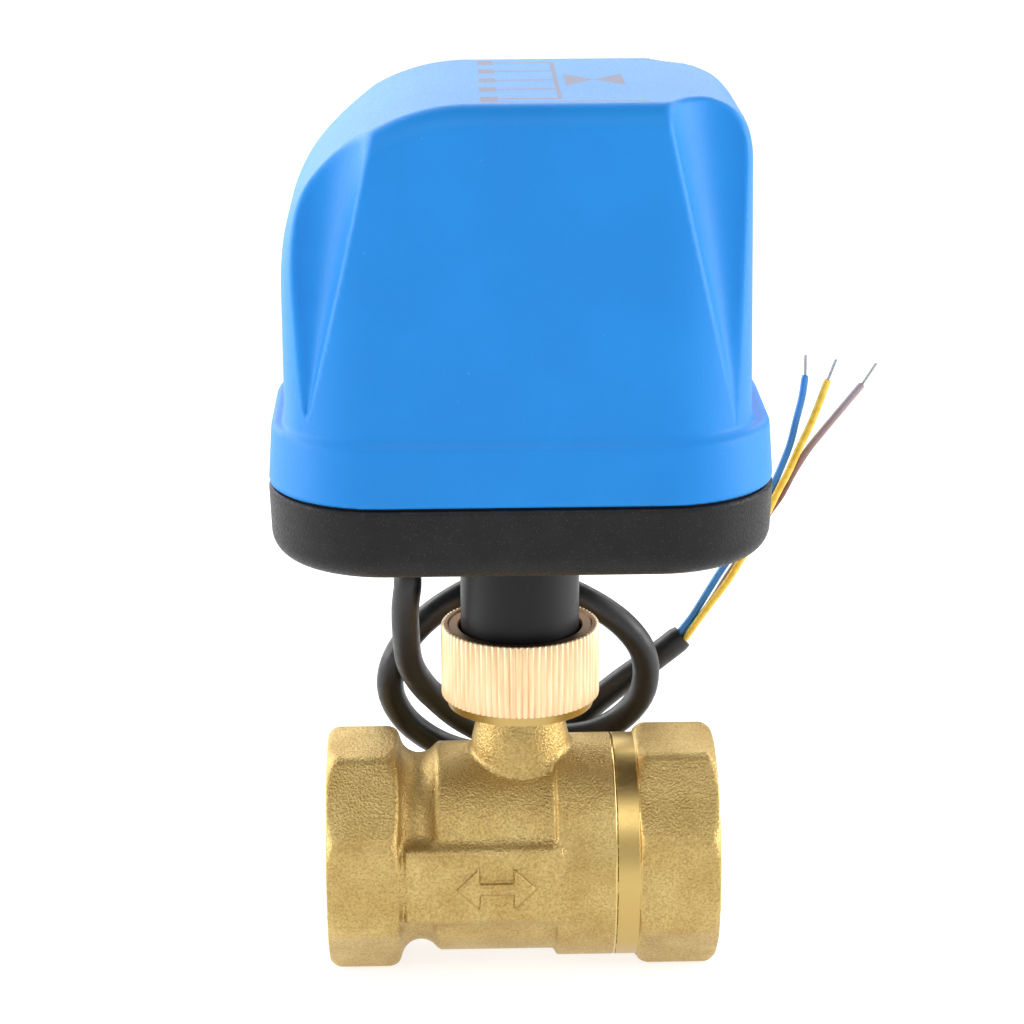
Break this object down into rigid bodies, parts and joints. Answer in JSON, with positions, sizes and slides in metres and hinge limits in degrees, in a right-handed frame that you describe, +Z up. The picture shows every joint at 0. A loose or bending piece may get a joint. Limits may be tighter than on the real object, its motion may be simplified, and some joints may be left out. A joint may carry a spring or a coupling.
{
  "type": "motorised zone valve",
  "caption": "Motorised two-way brass ball valve: octagonal threaded pipe ends, knurled union nut, black base, blue rounded actuator cover and a looped supply cable with stripped cores",
  "frame": {"origin": "under the stem axis, on the plane of the valve's two lower flats", "axes": "+X along the bore to the outlet, +Y to the rear, +Z up along the stem"},
  "size_m": [0.1107, 0.0632, 0.1606],
  "materials": {
    "forged_brass": "sand-blasted forged brass, fine sparkling grain",
    "turned_brass": "turned brass, bright",
    "nut_brass": "pale brass with a straight knurl",
    "chromed_ball": "polished hard chrome",
    "ptfe": "smooth white fluoropolymer",
    "seal_rubber": "smooth black rubber",
    "black_base": "moulded black plastic with a fine sparkle texture",
    "black_neck": "smoother moulded black plastic",
    "blue_cover": "blue moulded plastic, fine matte grain",
    "zinc_steel": "zinc-plated steel",
    "plate_steel": "stamped steel sheet",
    "shaft_steel": "turned steel",
    "white_acetal": "white acetal",
    "switch_black": "black moulded plastic",
    "plunger_red": "red moulded plastic",
    "tinned_brass": "tinned brass tabs",
    "board_green": "green solder mask",
    "relay_blue": "blue plastic case",
    "capacitor_yellow": "yellow film capacitor case",
    "terminal_green": "green plastic",
    "cable_black": "black flexible sheath, satin",
    "nylon_white": "nylon",
    "core_blue": "blue insulation",
    "core_yellow_green": "yellow insulation with a green stripe",
    "core_brown": "brown insulation",
    "tinned_copper": "tinned copper strands"
  },
  "bodies": {
    "valve": {"valve_body": "forged_brass", "end_cap": "forged_brass", "end_cap_seal": "seal_rubber", "seat_inlet": "ptfe", "seat_outlet": "ptfe", "thrust_washer": "ptfe"},
    "ball_and_stem": {"ball": "chromed_ball", "stem": "turned_brass", "stem_o_rings": "seal_rubber"},
    "slip_ring": {"nut_slip_ring": "ptfe"},
    "nut": {"union_nut": "nut_brass"},
    "output_train": {"output_shaft": "shaft_steel", "cam_lower": "white_acetal", "cam_upper": "white_acetal", "output_gear": "white_acetal", "shaft_circlip": "zinc_steel"},
    "pinion": {"motor_pinion": "shaft_steel"},
    "open_plunger": {"plunger_open": "plunger_red"},
    "close_plunger": {"plunger_close": "plunger_red"},
    "head": {"mounting_neck": "black_neck", "neck_screws": "zinc_steel", "actuator_base": "black_base", "cover": "blue_cover", "cover_gasket": "seal_rubber", "cover_screws": "zinc_steel", "shaft_bush": "white_acetal", "gear_plate": "plate_steel", "plate_standoffs": "turned_brass", "plate_screws": "zinc_steel", "motor_can": "plate_steel", "motor_screws": "zinc_steel", "switch_open_body": "switch_black", "switch_close_body": "switch_black", "switch_terminals": "tinned_brass", "switch_screws": "zinc_steel", "circuit_board": "board_green", "relay": "relay_blue", "capacitor": "capacitor_yellow", "terminal_block": "terminal_green", "cable_gland": "seal_rubber", "cable_tie": "nylon_white", "cable_inner_end": "cable_black", "power_cable": "cable_black", "wire_blue": "core_blue", "wire_yellow_green": "core_yellow_green", "wire_brown": "core_brown", "tip_blue": "tinned_copper", "tip_yellow_green": "tinned_copper", "tip_brown": "tinned_copper"}
  },
  "joints": [
    {"name": "ball_turn", "type": "hinge", "parent": "valve", "child": "ball_and_stem", "pos_m": [0, 0, 0.0205], "axis": [0, 0, 1], "range_deg": [0, 90]},
    {"name": "head_lift", "type": "slide", "parent": "valve", "child": "head", "axis": [0, 0, 1], "range_m": [0, 0.02]},
    {"name": "nut_rise", "type": "slide", "parent": "head", "child": "slip_ring", "axis": [0, 0, 1], "range_m": [0, 0.0075]},
    {"name": "nut_turn", "type": "hinge", "parent": "slip_ring", "child": "nut", "pos_m": [0, 0, 0.0557], "axis": [0, 0, 1], "range_deg": [0, 1800]},
    {"name": "output_turn", "type": "hinge", "parent": "head", "child": "output_train", "pos_m": [0, 0, 0.09], "axis": [0, 0, 1], "range_deg": [0, 90]},
    {"name": "pinion_turn", "type": "hinge", "parent": "head", "child": "pinion", "pos_m": [0.024, 0, 0.098], "axis": [0, 0, 1], "range_deg": [-270, 0]},
    {"name": "open_plunger_press", "type": "slide", "parent": "head", "child": "open_plunger", "axis": [0, -1, 0], "range_m": [0, 0.0006], "stiffness_N_per_m": 300, "springref_m": -0.001},
    {"name": "close_plunger_press", "type": "slide", "parent": "head", "child": "close_plunger", "axis": [0, 1, 0], "range_m": [0, 0.0006], "stiffness_N_per_m": 300, "springref_m": -0.001}
  ],
  "couplings": [
    {"joint": "nut_rise", "follows": "nut_turn", "m_per_rad": 0.0002387},
    {"joint": "output_turn", "follows": "ball_turn", "ratio": 1},
    {"joint": "pinion_turn", "follows": "ball_turn", "ratio": -3}
  ]
}
